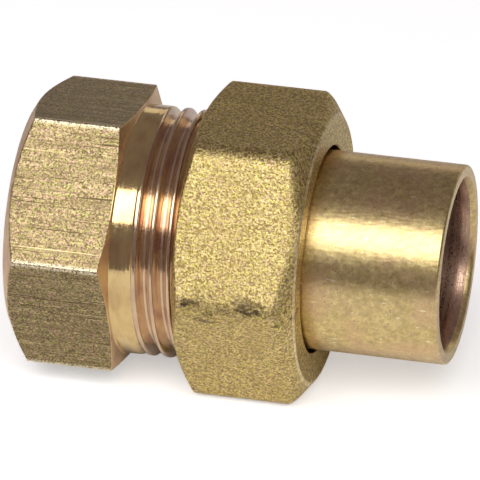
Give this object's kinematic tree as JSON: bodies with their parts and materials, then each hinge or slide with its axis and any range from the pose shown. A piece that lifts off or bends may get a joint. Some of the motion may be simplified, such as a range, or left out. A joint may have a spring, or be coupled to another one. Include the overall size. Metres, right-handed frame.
{
  "type": "pipe union",
  "caption": "Brass pipe union with a hex female-threaded body, a hex union nut and a solder-socket tail along one bore axis.",
  "frame": {"origin": "middle of the bounding box, on the bore axis", "axes": "+X along the bore axis towards the solder socket, +Z out of one of the nut's hex flats, +Y towards one of the nut's hex corners"},
  "size_m": [0.0578, 0.0418, 0.037],
  "materials": {
    "machined_brass": "bright turned and milled",
    "forged_brass": "blasted forging",
    "drawn_brass": "satin",
    "red_fibre": "matte"
  },
  "bodies": {
    "body": {"threaded_body": "machined_brass"},
    "washer": {"sealing_washer": "red_fibre"},
    "nut": {"union_nut": "forged_brass"},
    "tail": {"solder_tail": "drawn_brass"}
  },
  "joints": [
    {"name": "joint_opening", "type": "slide", "parent": "body", "child": "washer", "axis": [1, 0, 0], "range_m": [0, 0.0069]},
    {"name": "nut_turn", "type": "hinge", "parent": "washer", "child": "nut", "pos_m": [0.00275, 0, 0], "axis": [1, 0, 0], "range_deg": [0, 1080]},
    {"name": "tail_swivel", "type": "hinge", "parent": "washer", "child": "tail", "pos_m": [0.01615, 0, 0], "axis": [1, 0, 0], "continuous": true}
  ],
  "couplings": [
    {"joint": "nut_turn", "follows": "joint_opening", "rad_per_m": 2721.2}
  ]
}
